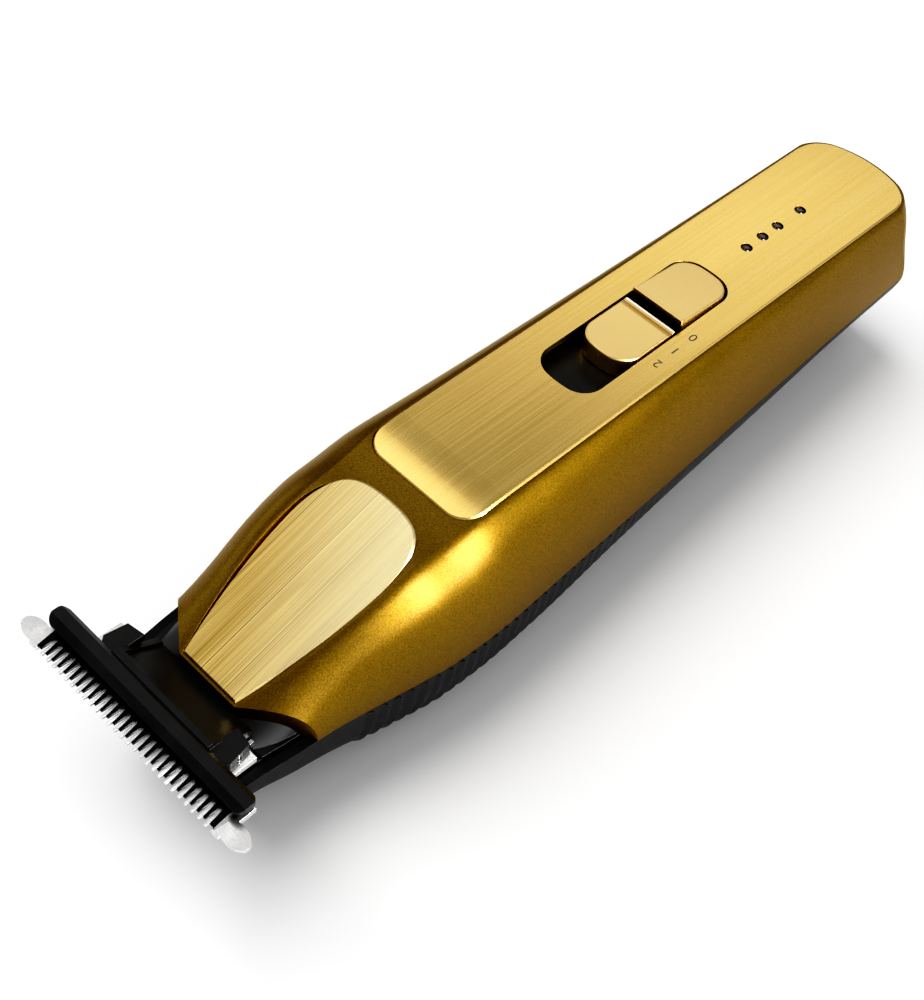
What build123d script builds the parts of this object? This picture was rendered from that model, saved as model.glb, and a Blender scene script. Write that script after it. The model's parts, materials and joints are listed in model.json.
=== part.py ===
"""Cordless T-blade hair trimmer, lying on its back with the switch face up.

Frame: X across, Y from the blade (-Y) to the tail (+Y), Z up, millimetres.
The origin is the bottom centre of the whole trimmer's box.
"""
import os
from math import atan2, cos, degrees, radians, sin

from build123d import *

os.makedirs("parts", exist_ok=True)

# ---------------------------------------------------------------- driving dimensions
LENGTH = 165.0  # comb tips to tail
TIP_Y = -LENGTH / 2
TAIL_Y = LENGTH / 2
TOP_Z = 34.0  # face of the top plate
SHELL_TOP_Z = 33.6  # painted shell beside the top plate
PARTING_Z = 16.4  # joint between the gold and the black shell
WALL = 1.6
CEILING = 2.2  # the upper shell is thicker under the plates
CLEAR = 0.05  # assembly gap between fixed pieces
RUN = 0.15  # gap between moving pieces

PLATE_HALF = 10.5
PLATE_REAR_Y = 80.15
PLATE_CORNER = 6.5
PLATE_FRONT_Y = -31.1
PLATE_THICK = 1.2
PLATE_DROOP = 0.8  # how far the plate's front end bends down
PLATE_BEND_Y = -23.0

NOSE_REAR_Y = -35.6
NOSE_FRONT_Y = -68.0
NOSE_REAR_Z = 33.8
NOSE_SLOPE = 0.365
NOSE_THICK = 0.9
NOSE_PROUD = 0.35  # how far the nose plate stands out of the shell

SLOT_HALF = 5.5
SLOT_FRONT_Y = -1.3
SLOT_REAR_Y = 35.9
KNOB_HALF = 5.05
KNOB_FRONT_Y = 8.4
KNOB_REAR_Y = 35.45
KNOB_TOP_Z = 34.2
GROOVE_FRONT_Y = 20.6
FIN_FRONT_Y = 21.7
FIN_REAR_Y = 22.4
FIN_TOP_Z = 35.55
RAMP_TOP_Z = 35.25  # the rear pad's height behind the fin
LIP_DEPTH = 0.2  # the front pad dips this much before the lip at its rear edge
GROOVE_BOTTOM_Z = 32.2
SWITCH_TRAVEL = 8.65

LAMP_YS = (45.1, 49.4, 53.5, 59.8)
LAMP_RADIUS = 0.95

MOTOR_Z = 15.5
MOTOR_RADIUS = 7.75
MOTOR_FRONT_Y = -56.0
MOTOR_REAR_Y = -30.0
SHAFT_RADIUS = 1.0
CRANK_OFFSET = 0.9
CRANK_RADIUS = 0.8

COMB_HALF = 23.1
COMB_TOP_Z = 22.9
COMB_THICK = 1.0
CUTTER_THICK = 0.78
TOOTH_PITCH = 1.3
COMB_TEETH = 29
CUTTER_TEETH = 27
COMB_TOOTH = 3.1
CUTTER_TOOTH = 2.6
COMB_WIDTH = 39.0  # between the lobes
COMB_REAR_Y = -76.3
CUTTER_WIDTH = 36.4
CUTTER_REAR_Y = -76.25
LOBE_LONG = 2.6
LOBE_SHORT = 1.6

BATTERY_RADIUS = 7.0
BATTERY_Z = 11.5
BATTERY_FRONT_Y = 14.0
BATTERY_REAR_Y = 62.0

BOARD_Z = 24.0
BOARD_THICK = 1.2
BOARD_FRONT_Y = -12.0
BOARD_REAR_Y = 64.5
BOARD_SCREWS = ((6.0, 55.0), (-6.0, -7.0))

SOCKET_Z = 9.0
SOCKET_FACE_Y = 80.6
SOCKET_RADIUS = 4.2

WELL_FLOOR_Z = 30.6
WELL_WALL = 0.8
SWITCH_TOP_Z = 29.6
POST_Y = 19.5

CASE_SCREWS = ((0, 67.5), (0, -18), (11.5, -44), (-11.5, -44))
SCREW_RADIUS = 1.1
HEAD_RADIUS = 2.1
HEAD_SEAT_Z = 3.0

CAM_FRONT_Y = -64.0
CAM_LENGTH = 5.0
CRANK_FRONT_Y = -74.6
MOTOR_SCREWS = ((-5.4, MOTOR_Z), (5.4, MOTOR_Z))
NECK_TOP_Z = 14.2
NECK_FRONT_Y = -69.0
TRAY_FRONT_Y = -73.6
RAIL_TOP_Z = 16.9
CAM_ROOM = 3.7
SEAL_RADIUS = 3.4
RAIL_HALF = 10.95
NOTCH_HALF = 11.4
NOTCH_Z = 13.4

HOLDER_HALF = 9.8
HOLDER_REAR_Y = -70.0
HOOD_REAR_Y = -68.6  # the hood laps over the neck, up to the gold shell's front edge
HOOD_TOP_Z = 25.2
TUNNEL_HALF = 6.2  # the hood's hollow, which the carriage works in
BAR_HALF = 19.9
BAR_FRONT_Y = -79.4
BAR_REAR_Y = -76.0
BAR_BOTTOM_Z = 24.45
BAR_TOP_Z = 25.6
BAR_CORNER = 1.4
WING_ROOT = 9.6
BLADE_SCREWS = ((12.0, -73.4), (-12.0, -73.4))
CUTTER_TIP_Y = -82.05
FORK_HALF = CRANK_RADIUS + 2 * CRANK_OFFSET + 0.1

RIB_PITCH = 2.2
RIB_HEIGHT = 0.35
RIB_FRONT_Y = -54.0
RIB_REAR_Y = 14.0
RIB_BOTTOM_Z = 0.8
RIB_TOP_Z = PARTING_Z - 0.5


def nose_z(y):
    """Height of the nose plate's face."""
    return NOSE_REAR_Z - NOSE_SLOPE * (NOSE_REAR_Y - y)


# The body's outline: each curve is a few (y, value) points that a smooth line passes through.
STATION_PITCH = 5.0
SKIN_REAR_Y = 85.0
TOP_HALF = (
    (-70, 5.3), (-58, 8.6), (-47, 9.8), (-38, 10.0), (-30, 10.6), (-20, 10.8), (66, 10.8), (85, 10.7),
)
FULLNESS = ((-70, 0.34), (-60, 0.4), (-47, 0.58), (-36, 0.48), (-20, 0.34), (0, 0.3), (85, 0.3))
TOP_HEIGHT = (
    (-70, nose_z(-70) - NOSE_PROUD), (-39, nose_z(-39) - NOSE_PROUD), (-34, 32.6),
    (-29, 33.4), (-24, SHELL_TOP_Z), (85, SHELL_TOP_Z),
)
SIDE_HALF = (
    (-75.5, 12.8), (-69, 14.0), (-58, 15.1), (-47, 17.0), (-38, 18.4), (-30, 18.7), (-20, 18.3),
    (0, 17.3), (24, 16.1), (48, 14.9), (66, 14.1), (85, 13.5),
)
# The keel runs a little under z = 0, where it is cut to the flat that the trimmer rests on.
KEEL_HEIGHT = (
    (-75.5, 8.6), (-69, 6.4), (-58, 3.2), (-47, 0.8), (-38, -0.1), (76, -0.1), (85, 0.8),
)
KEEL_HALF = ((-75.5, 6.4), (-58, 7.2), (-30, 8.4), (0, 7.8), (66, 6.2), (85, 5.6))
# How full the black shell's sides are: 1 is a round belly, 0 runs almost straight to the keel.
BELLY = ((-75.5, 1.0), (-20, 0.97), (0, 0.75), (20, 0.55), (40, 0.39), (60, 0.12), (85, 0.0))

# The tail's end face is a bowed wall: at each height, its rearmost y, how far it has fallen
# back at x = +-TAIL_SPAN, and the radius of its two corners.
TAIL_SPAN = 30.0
TAIL_TOP = (TOP_Z, TAIL_Y - 1.9, 24.0, 7.0)
TAIL_PARTING = (PARTING_Z, TAIL_Y, 3.5, 3.2)
TAIL_KEEL = (-1.0, TAIL_Y - 2.1, 10.0, 5.0)
TAIL_WALL = 2.0
TAIL_SECTION_Y = 78.0  # where the corners start
CORNER_FRONT_Y = 64.0
CORNER_GAP = 0.1  # the corner tool stands this far off the sides


def along(curve, y):
    """Value at y on the smooth line (a monotone cubic) through a curve's points."""
    gaps = [(q[0] - p[0], (q[1] - p[1]) / (q[0] - p[0])) for p, q in zip(curve, curve[1:])]
    slopes = [gaps[0][1]]
    for (run_a, rise_a), (run_b, rise_b) in zip(gaps, gaps[1:]):
        if rise_a * rise_b <= 0:
            slopes.append(0.0)
        else:
            weight_a, weight_b = 2 * run_b + run_a, run_b + 2 * run_a
            slopes.append((weight_a + weight_b) / (weight_a / rise_a + weight_b / rise_b))
    slopes.append(gaps[-1][1])
    i = sum(y > p[0] for p in curve[1:-1])
    run = gaps[i][0]
    t = (y - curve[i][0]) / run
    return (
        (1 + 2 * t) * (1 - t) ** 2 * curve[i][1]
        + t * (1 - t) ** 2 * run * slopes[i]
        + t**2 * (3 - 2 * t) * curve[i + 1][1]
        + t**2 * (t - 1) * run * slopes[i + 1]
    )


def stations(front_y):
    """Evenly spaced section positions from the tail to front_y."""
    count = round((SKIN_REAR_Y - front_y) / STATION_PITCH)
    return [SKIN_REAR_Y + (front_y - SKIN_REAR_Y) * i / count for i in range(count + 1)]


# ---------------------------------------------------------------- body skins
def upper_side(y, inset=0.0, ceiling=0.0):
    """Control points of the gold shell's right side at y, from the top down."""
    top = along(TOP_HEIGHT, y) - ceiling
    flat = along(TOP_HALF, y) - 0.6 * inset
    side = along(SIDE_HALF, y) - inset
    shoulder = flat + along(FULLNESS, y) * (side - flat)
    base_z = PARTING_Z - (1.0 if inset else 0.0)
    bulge_z = PARTING_Z + 0.58 * (top - PARTING_Z)
    return (flat, top), (shoulder, top - 0.4), (side, bulge_z), (side, base_z)


def lower_side(y, inset=0.0, top_z=PARTING_Z):
    """Control points of the black shell's right side at y, from the top down."""
    keel_z = along(KEEL_HEIGHT, y) + inset
    flat = along(KEEL_HALF, y) - 0.6 * inset
    side = along(SIDE_HALF, y) - inset
    belly = along(BELLY, y)
    belly_z = PARTING_Z - (0.2 + 0.42 * belly) * (PARTING_Z - keel_z)
    bilge = flat + (0.1 + 0.52 * belly) * (side - flat)
    return (side, top_z), (side, belly_z), (bilge, keel_z), (flat, keel_z)


def cross_section(y, side):
    """Cross-section at y between a side curve and its mirror image."""
    (top_x, top_z), (base_x, base_z) = side[0], side[-1]
    with BuildSketch(Plane.XZ.offset(-y)) as section:
        with BuildLine():
            Line((-top_x, top_z), (top_x, top_z))
            for sign in (1, -1):
                Bezier(*[(sign * x, z) for x, z in side])
            Line((-base_x, base_z), (base_x, base_z))
        make_face()
    return section.sketch


def upper_skin(inset=0.0, ceiling=0.0):
    """Solid inside the gold shell's outer face, moved inwards by inset."""
    with BuildPart() as skin:
        for y in stations(-70):
            add(cross_section(y, upper_side(y, inset, ceiling)))
        loft()
    return skin.part


def lower_skin(inset=0.0, top_z=PARTING_Z):
    """Solid inside the black shell's outer face, moved inwards by inset."""
    with BuildPart() as skin:
        for y in stations(-75.5):
            add(cross_section(y, lower_side(y, inset, top_z)))
        loft()
        add(block((-30, 30), (-90, 90), (-5, inset)), mode=Mode.SUBTRACT)
    return skin.part


def rib(y, height):
    """Saw-tooth rib across the grip: a ring that rises from nothing to its height."""
    with BuildPart() as ring:
        add(cross_section(y, lower_side(y, 0.2)))
        add(cross_section(y + RIB_PITCH - 0.5, lower_side(y + RIB_PITCH - 0.5, -height)))
        loft()
        # only over the sides: not on the flat keel, nor along the parting line
        add(block((-30, 30), (-90, 90), (RIB_BOTTOM_Z, RIB_TOP_Z)), mode=Mode.INTERSECT)
    return ring.part


def tail_outline(rear, drop, half=TAIL_SPAN, corner=0.0):
    """Plan of everything ahead of a parabola with its apex at y = rear, closing in to +-half."""
    fall = drop * (half / TAIL_SPAN) ** 2
    with BuildSketch() as outline:
        with BuildLine():
            Bezier((-half, rear - fall), (0, rear + fall), (half, rear - fall))
            for sign in (1, -1):
                Polyline(
                    (sign * half, rear - fall), (sign * (half + 0.5), CORNER_FRONT_Y),
                    (sign * (TAIL_SPAN + 1), CORNER_FRONT_Y - 15), (sign * (TAIL_SPAN + 1), -100),
                    (0, -100),
                )
        make_face()
        if corner:
            fillet(outline.vertices().group_by(Axis.Y)[-1], radius=corner)
    return outline.sketch


def end_level(z, far):
    """The end face's apex, drop and corner radius at z, between the parting line and far."""
    share = (z - PARTING_Z) / (far[0] - PARTING_Z)
    return [near + share * (end - near) for near, end in zip(TAIL_PARTING[1:], far[1:])]


def tail_room(bottom_z, top_z, far):
    """Everything ahead of the inner side of the tail's end wall."""
    with BuildPart() as ahead:
        for z in (bottom_z, top_z):
            rear, drop, corner = end_level(z, far)
            with BuildSketch(Plane.XY.offset(z)):
                # the larger drop keeps the wall thick behind the rounded corners
                add(tail_outline(rear - TAIL_WALL, drop + 2.5 * corner + 8.0))
        loft(ruled=True)
    return ahead.part


def tail_end(side, far, spread=0.0):
    """Everything inside the tail's end face and its rounded corners, along a side curve."""
    with BuildPart() as ahead:
        for step in range(5):
            t = step / 4
            weights = ((1 - t) ** 3, 3 * t * (1 - t) ** 2, 3 * t**2 * (1 - t), t**3)
            x, z = (sum(w * point[i] for w, point in zip(weights, side)) for i in (0, 1))
            rear, drop, corner = end_level(z, far)
            with BuildSketch(Plane.XY.offset(z)):
                add(tail_outline(rear, drop, x + CORNER_GAP + spread * t**2, corner))
        loft()
    return ahead.part


def slot_outline(half, front, rear, corner):
    """Rounded slot whose two ends bow outwards a little."""
    bow = 0.9
    with BuildSketch() as outline:
        with BuildLine():
            Line((-half, front + bow), (-half, rear - bow))
            ThreePointArc((-half, rear - bow), (0, rear), (half, rear - bow))
            Line((half, rear - bow), (half, front + bow))
            ThreePointArc((half, front + bow), (0, front), (-half, front + bow))
        make_face()
        fillet(outline.vertices(), radius=corner)
    return outline.sketch


def rod(radius, start, length, x=0.0, z=0.0, radius_in=0.0):
    """Rod or tube along +Y from y = start."""
    with BuildPart() as bar:
        with BuildSketch(Plane.XZ.offset(-start)):
            with Locations((x, z)):
                Circle(radius)
                if radius_in:
                    Circle(radius_in, mode=Mode.SUBTRACT)
        extrude(amount=-length)
    return bar.part


def post(radius, bottom, top, places):
    """Upright posts from z = bottom to z = top at each (x, y) place."""
    with BuildPart() as posts:
        with BuildSketch(Plane.XY.offset(bottom)):
            with Locations(*places):
                Circle(radius)
        extrude(amount=top - bottom)
    return posts.part


def block(x, y, z):
    """Box between the (low, high) pairs x, y and z."""
    with BuildPart() as box:
        with BuildSketch(Plane.XY.offset(z[0])):
            with Locations(((x[0] + x[1]) / 2, (y[0] + y[1]) / 2)):
                Rectangle(x[1] - x[0], y[1] - y[0])
        extrude(amount=z[1] - z[0])
    return box.part


def slot_block(half, front, rear, corner, bottom, top):
    """Upright prism with the switch slot's outline."""
    with BuildPart() as prism:
        with BuildSketch(Plane.XY.offset(bottom)):
            add(slot_outline(half, front, rear, corner))
        extrude(amount=top - bottom)
    return prism.part


def parting_outline(inset):
    """Plan of the body at the parting line, moved inwards by inset, open towards the neck."""
    sides = [(along(SIDE_HALF, y) - inset, y) for y in stations(-60)]
    with BuildSketch() as outline:
        with BuildLine():
            Spline(*sides)
            Spline(*[(-x, y) for x, y in sides])
            Line(sides[0], (-sides[0][0], sides[0][1]))
            Line(sides[-1], (-sides[-1][0], sides[-1][1]))
        make_face()
        add(tail_outline(TAIL_PARTING[1] - inset, TAIL_PARTING[2]), mode=Mode.INTERSECT)
        fillet(outline.vertices().group_by(Axis.Y)[-1], radius=TAIL_PARTING[3] - inset)
    return outline.sketch


def gasket_ring(depth, grow=0.0):
    """U-shaped strip that lies in the lower shell's rim, just under the parting line."""
    with BuildPart() as ring:
        with BuildSketch(Plane.XY.offset(PARTING_Z - depth)):
            add(parting_outline(0.5 - grow))
            add(parting_outline(1.1 + grow), mode=Mode.SUBTRACT)
        extrude(amount=depth + (1.0 if grow else 0.0))
        add(block((-30, 30), (-90, -58 - grow), (0, 30)), mode=Mode.SUBTRACT)
    return ring.part


def finish(part, name):
    """Label a finished piece and write its file."""
    part.label = name
    export_step(part, f"parts/{name}.step")


# ---------------------------------------------------------------- top plate
def top_plate_blank(grow=0.0):
    """The long plate: flat over the handle, bending down at its front end."""
    half = PLATE_HALF + grow
    rear = PLATE_REAR_Y + grow
    front = PLATE_FRONT_Y - grow
    with BuildPart() as blank:
        with BuildSketch(Plane.YZ.offset(-half - 1)):
            with BuildLine():
                Line((rear, TOP_Z), (PLATE_BEND_Y, TOP_Z))
                TangentArc((PLATE_BEND_Y, TOP_Z), (front, TOP_Z - PLATE_DROOP), tangent=(-1, 0))
                Line((front, TOP_Z - PLATE_DROOP), (front, TOP_Z - PLATE_DROOP - PLATE_THICK))
                TangentArc(
                    (PLATE_BEND_Y, TOP_Z - PLATE_THICK),
                    (front, TOP_Z - PLATE_DROOP - PLATE_THICK),
                    tangent=(-1, 0),
                )
                Line((PLATE_BEND_Y, TOP_Z - PLATE_THICK), (rear, TOP_Z - PLATE_THICK))
                Line((rear, TOP_Z - PLATE_THICK), (rear, TOP_Z))
            make_face()
        extrude(amount=2 * half + 2)
        with BuildSketch(Plane.XY.offset(TOP_Z - 4)) as plan:
            fall = TAIL_TOP[2] * (half / TAIL_SPAN) ** 2
            with BuildLine():
                Polyline((-half, rear - fall), (-half, front), (half, front), (half, rear - fall))
                Bezier((-half, rear - fall), (0, rear + fall), (half, rear - fall))
            make_face()
            fillet(plan.vertices().group_by(Axis.Y)[0], radius=4.0)
            fillet(plan.vertices().group_by(Axis.Y)[-1], radius=PLATE_CORNER)
        extrude(amount=5, mode=Mode.INTERSECT)
    return blank.part


with BuildPart() as top_plate:
    add(top_plate_blank())
    chamfer(top_plate.faces().filter_by(Axis.Z).sort_by(Axis.Z)[-1].edges(), length=0.3)
    add(slot_block(SLOT_HALF, SLOT_FRONT_Y, SLOT_REAR_Y, 4.0, 30, 36), mode=Mode.SUBTRACT)
    add(post(LAMP_RADIUS + CLEAR, 30, 36, [(0, y) for y in LAMP_YS]), mode=Mode.SUBTRACT)
finish(top_plate.part, "top_plate")

# ---------------------------------------------------------------- nose plate
NOSE_PLANE = Plane(
    origin=(0, NOSE_REAR_Y, NOSE_REAR_Z), x_dir=(1, 0, 0), z_dir=(0, -NOSE_SLOPE, 1)
)
NOSE_LENGTH = (NOSE_REAR_Y - NOSE_FRONT_Y) / NOSE_PLANE.y_dir.Y


def nose_plate_blank(grow=0.0, above=0.0):
    """The shield-shaped plate, widened by grow and thickened upwards by above."""
    front = -NOSE_LENGTH - grow
    with BuildPart() as blank:
        with BuildSketch(NOSE_PLANE.offset(above)):
            with BuildLine():
                Line((-5.4 - grow, front), (5.4 + grow, front))
                for sign in (1, -1):
                    Spline(
                        (sign * (5.4 + grow), front), (sign * (8.1 + grow), front + 11.4),
                        (sign * (9.4 + grow), front + 22.8), (sign * (9.2 + grow), -6.6),
                        (sign * (7.0 + grow), -1.8 + grow), (0, grow),
                        tangents=((sign * 0.3, 1), (-sign, 0)),
                    )
            make_face()
        extrude(amount=-above - NOSE_THICK - grow)
    return blank.part


with BuildPart() as nose_plate:
    add(nose_plate_blank())
    chamfer(nose_plate.faces().sort_by(SortBy.AREA)[-2:].sort_by(Axis.Z)[-1].edges(), length=0.3)
finish(nose_plate.part, "nose_plate")

# ---------------------------------------------------------------- gold upper shell
with BuildPart() as upper_shell:
    add(upper_skin())
    add(tail_end(upper_side(TAIL_SECTION_Y), TAIL_TOP), mode=Mode.INTERSECT)
    # the front opening: square behind the blade, swept back at both cheeks
    with BuildSketch(Plane.XY):
        with BuildLine():
            Polyline(
                (-30, -47), (-14.9, -61.2), (-5.7, -68.3), (5.7, -68.3),
                (14.9, -61.2), (30, -47), (30, -90), (-30, -90), (-30, -47),
            )
        make_face()
    extrude(amount=50, mode=Mode.SUBTRACT)
    with BuildPart(mode=Mode.PRIVATE) as room:
        add(upper_skin(WALL, CEILING))
        add(tail_room(PARTING_Z - 2, TOP_Z, TAIL_TOP), mode=Mode.INTERSECT)
        # what stays in the hollow: bosses for the case screws and the board
        add(post(2.7, PARTING_Z, SHELL_TOP_Z, CASE_SCREWS), mode=Mode.SUBTRACT)
        add(
            post(2.0, BOARD_Z + BOARD_THICK + CLEAR, SHELL_TOP_Z, BOARD_SCREWS),
            mode=Mode.SUBTRACT,
        )
    add(room.part, mode=Mode.SUBTRACT)
    add(top_plate_blank(CLEAR), mode=Mode.SUBTRACT)
    add(nose_plate_blank(CLEAR, 3.0), mode=Mode.SUBTRACT)
    add(
        slot_block(
            SLOT_HALF + WELL_WALL + CLEAR, SLOT_FRONT_Y - WELL_WALL - CLEAR,
            SLOT_REAR_Y + WELL_WALL + CLEAR, 4.6, 28, 36,
        ),
        mode=Mode.SUBTRACT,
    )
    add(post(LAMP_RADIUS + CLEAR, 28, 36, [(0, y) for y in LAMP_YS]), mode=Mode.SUBTRACT)
    add(post(SCREW_RADIUS + CLEAR, 10, 22.5, CASE_SCREWS), mode=Mode.SUBTRACT)
    add(post(0.95, 10, BOARD_Z + 4.5, BOARD_SCREWS), mode=Mode.SUBTRACT)
finish(upper_shell.part, "upper_shell")

# ---------------------------------------------------------------- black lower shell
with BuildPart() as lower_shell:
    add(lower_skin())
    with BuildPart(mode=Mode.PRIVATE) as room:
        add(lower_skin(WALL, PARTING_Z + 1.0))
        add(tail_room(-1, PARTING_Z + 2, TAIL_KEEL), mode=Mode.INTERSECT)
        add(block((-30, 30), (-100, -73.9), (-1, 30)), mode=Mode.SUBTRACT)
        add(post(2.9, -1, PARTING_Z, CASE_SCREWS), mode=Mode.SUBTRACT)
    # cross ribs of the grip
    rib_count = round((RIB_REAR_Y - RIB_FRONT_Y) / RIB_PITCH)
    add([
        rib(
            RIB_FRONT_Y + i * RIB_PITCH,
            RIB_HEIGHT * min(1.0, 1.6 * (rib_count - i) / rib_count),
        )
        for i in range(rib_count)
    ])
    add(tail_end(lower_side(TAIL_SECTION_Y), TAIL_KEEL, spread=1.0), mode=Mode.INTERSECT)
    add(room.part, mode=Mode.SUBTRACT)
    # screw holes and the pockets for the heads
    add(post(SCREW_RADIUS + 0.15, -1, PARTING_Z, CASE_SCREWS), mode=Mode.SUBTRACT)
    add(post(HEAD_RADIUS + 0.2, -1, HEAD_SEAT_Z, CASE_SCREWS), mode=Mode.SUBTRACT)
    # charge socket opening in the tail, and the notch that the blade slides out through
    add(rod(SOCKET_RADIUS + CLEAR, 70, 20, z=SOCKET_Z), mode=Mode.SUBTRACT)
    add(block((-NOTCH_HALF, NOTCH_HALF), (-80, -73.0), (NOTCH_Z, 20)), mode=Mode.SUBTRACT)
    # groove for the gasket
    add(gasket_ring(0.45, CLEAR), mode=Mode.SUBTRACT)
finish(lower_shell.part, "lower_shell")

with BuildPart() as body_gasket:
    add(gasket_ring(0.4))
finish(body_gasket.part, "body_gasket")

with BuildPart() as case_screws:
    add(post(SCREW_RADIUS, HEAD_SEAT_Z, 22.0, CASE_SCREWS))
    add(post(HEAD_RADIUS, HEAD_SEAT_Z - 1.4, HEAD_SEAT_Z, CASE_SCREWS))
    # cross recess in each head
    for arm in ((1.8, 0.5), (0.5, 1.8)):
        with BuildSketch(Plane.XY.offset(HEAD_SEAT_Z - 1.4)):
            with Locations(*CASE_SCREWS):
                Rectangle(*arm)
        extrude(amount=0.8, mode=Mode.SUBTRACT)
finish(case_screws.part, "case_screws")

# ---------------------------------------------------------------- power switch
with BuildPart() as switch_well:
    add(slot_block(
        SLOT_HALF + WELL_WALL, SLOT_FRONT_Y - WELL_WALL, SLOT_REAR_Y + WELL_WALL, 4.6,
        WELL_FLOOR_Z - 0.8, TOP_Z - PLATE_THICK - CLEAR,
    ))
    add(
        slot_block(SLOT_HALF, SLOT_FRONT_Y, SLOT_REAR_Y, 4.0, WELL_FLOOR_Z, 36),
        mode=Mode.SUBTRACT,
    )
    add(
        block((-1.6, 1.6), (POST_Y - SWITCH_TRAVEL - 2.0, POST_Y + 2.0), (25, 32)),
        mode=Mode.SUBTRACT,
    )
finish(switch_well.part, "switch_well")

with BuildPart() as switch_knob:
    # a flat front pad, a groove, the thumb fin with its hollowed face, and a ramp behind it
    with BuildSketch(Plane.YZ.offset(-KNOB_HALF)):
        with BuildLine():
            Polyline(
                (FIN_FRONT_Y, GROOVE_BOTTOM_Z), (GROOVE_FRONT_Y, GROOVE_BOTTOM_Z),
                (GROOVE_FRONT_Y, KNOB_TOP_Z), (KNOB_FRONT_Y, KNOB_TOP_Z),
                (KNOB_FRONT_Y, WELL_FLOOR_Z + RUN), (KNOB_REAR_Y, WELL_FLOOR_Z + RUN),
                (KNOB_REAR_Y, KNOB_TOP_Z), (FIN_REAR_Y, RAMP_TOP_Z), (FIN_REAR_Y - 0.1, FIN_TOP_Z),
                (FIN_FRONT_Y + 0.1, FIN_TOP_Z),
            )
            ThreePointArc(
                (FIN_FRONT_Y + 0.1, FIN_TOP_Z), (FIN_FRONT_Y + 0.25, KNOB_TOP_Z),
                (FIN_FRONT_Y, GROOVE_BOTTOM_Z),
            )
        make_face()
    extrude(amount=2 * KNOB_HALF)
    add(
        slot_block(KNOB_HALF, KNOB_FRONT_Y, KNOB_REAR_Y, 3.8, WELL_FLOOR_Z, FIN_TOP_Z + 1),
        mode=Mode.INTERSECT,
    )
    pads = switch_knob.faces().filter_by(lambda face: face.normal_at().Z > 0.99)
    fillet(pads.edges().filter_by(Axis.X, reverse=True), radius=0.3)
    # a dip across the front pad, which leaves a lip along the groove
    with BuildSketch(Plane.YZ.offset(-KNOB_HALF)):
        with BuildLine():
            Polyline(
                (GROOVE_FRONT_Y, KNOB_TOP_Z), (GROOVE_FRONT_Y - 0.7, KNOB_TOP_Z - LIP_DEPTH),
                (GROOVE_FRONT_Y - 1.8, KNOB_TOP_Z), (GROOVE_FRONT_Y - 1.8, KNOB_TOP_Z + 1),
                (GROOVE_FRONT_Y, KNOB_TOP_Z + 1), (GROOVE_FRONT_Y, KNOB_TOP_Z),
            )
        make_face()
    extrude(amount=2 * KNOB_HALF, mode=Mode.SUBTRACT)
finish(switch_knob.part, "switch_knob")

with BuildPart() as switch_post:
    add(block(
        (-1.3, 1.3), (POST_Y - 1.5, POST_Y + 1.5), (SWITCH_TOP_Z - 1.6, WELL_FLOOR_Z + RUN)
    ))
finish(switch_post.part, "switch_post")

with BuildPart() as slide_switch:
    add(block(
        (-4, 4), (POST_Y - SWITCH_TRAVEL - 4.5, POST_Y + 4.5), (BOARD_Z + BOARD_THICK, SWITCH_TOP_Z)
    ))
    add(
        block(
            (-1.5, 1.5), (POST_Y - SWITCH_TRAVEL - 1.8, POST_Y + 1.8),
            (SWITCH_TOP_Z - 1.8, SWITCH_TOP_Z + 1),
        ),
        mode=Mode.SUBTRACT,
    )
finish(slide_switch.part, "slide_switch")

# ---------------------------------------------------------------- circuit board and lamps
with BuildPart() as circuit_board:
    add(block((-9, 9), (BOARD_FRONT_Y, BOARD_REAR_Y), (BOARD_Z, BOARD_Z + BOARD_THICK)))
    fillet(circuit_board.edges().filter_by(Axis.Z), radius=1.5)
    add(post(1.0, BOARD_Z - 1, BOARD_Z + 3, BOARD_SCREWS), mode=Mode.SUBTRACT)
finish(circuit_board.part, "circuit_board")

with BuildPart() as lamp_chips:
    with BuildSketch(Plane.XY.offset(BOARD_Z + BOARD_THICK)):
        with Locations(*[(0, y) for y in LAMP_YS]):
            Rectangle(1.2, 1.6)
    extrude(amount=0.7)
finish(lamp_chips.part, "lamp_chips")

with BuildPart() as lamp_lenses:
    add(post(LAMP_RADIUS, BOARD_Z + BOARD_THICK + 0.9, TOP_Z, [(0, y) for y in LAMP_YS]))
    # domed tops
    fillet(lamp_lenses.faces().group_by(Axis.Z)[-1].edges(), radius=LAMP_RADIUS - 0.3)
finish(lamp_lenses.part, "lamp_lenses")

with BuildPart() as board_screws:
    add(post(1.9, BOARD_Z - 1.0, BOARD_Z - 0.02, BOARD_SCREWS))
    add(post(0.9, BOARD_Z - 0.1, BOARD_Z + 4.0, BOARD_SCREWS))
finish(board_screws.part, "board_screws")

# ---------------------------------------------------------------- battery and charging
with BuildPart() as battery:
    add(rod(BATTERY_RADIUS, BATTERY_FRONT_Y, BATTERY_REAR_Y - BATTERY_FRONT_Y, z=BATTERY_Z))
    add(rod(2.2, BATTERY_FRONT_Y - 0.7, 1.0, z=BATTERY_Z))
finish(battery.part, "battery")

with BuildPart() as battery_tabs:
    # a strip across each end of the cell, running up to the board
    for y, thick in ((BATTERY_FRONT_Y - 1.05, 0.3), (BATTERY_REAR_Y + CLEAR, 0.3)):
        add(block((-2.0, 2.0), (y, y + thick), (BATTERY_Z - 3, BOARD_Z - CLEAR)))
finish(battery_tabs.part, "battery_tabs")

with BuildPart() as battery_cradle:
    add(block((-5.6, 5.6), (BATTERY_FRONT_Y + 3, BATTERY_REAR_Y - 3), (WALL + 0.5, 6.5)))
    add(
        rod(BATTERY_RADIUS + CLEAR, BATTERY_FRONT_Y, BATTERY_REAR_Y - BATTERY_FRONT_Y, z=BATTERY_Z),
        mode=Mode.SUBTRACT,
    )
finish(battery_cradle.part, "battery_cradle")

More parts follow.
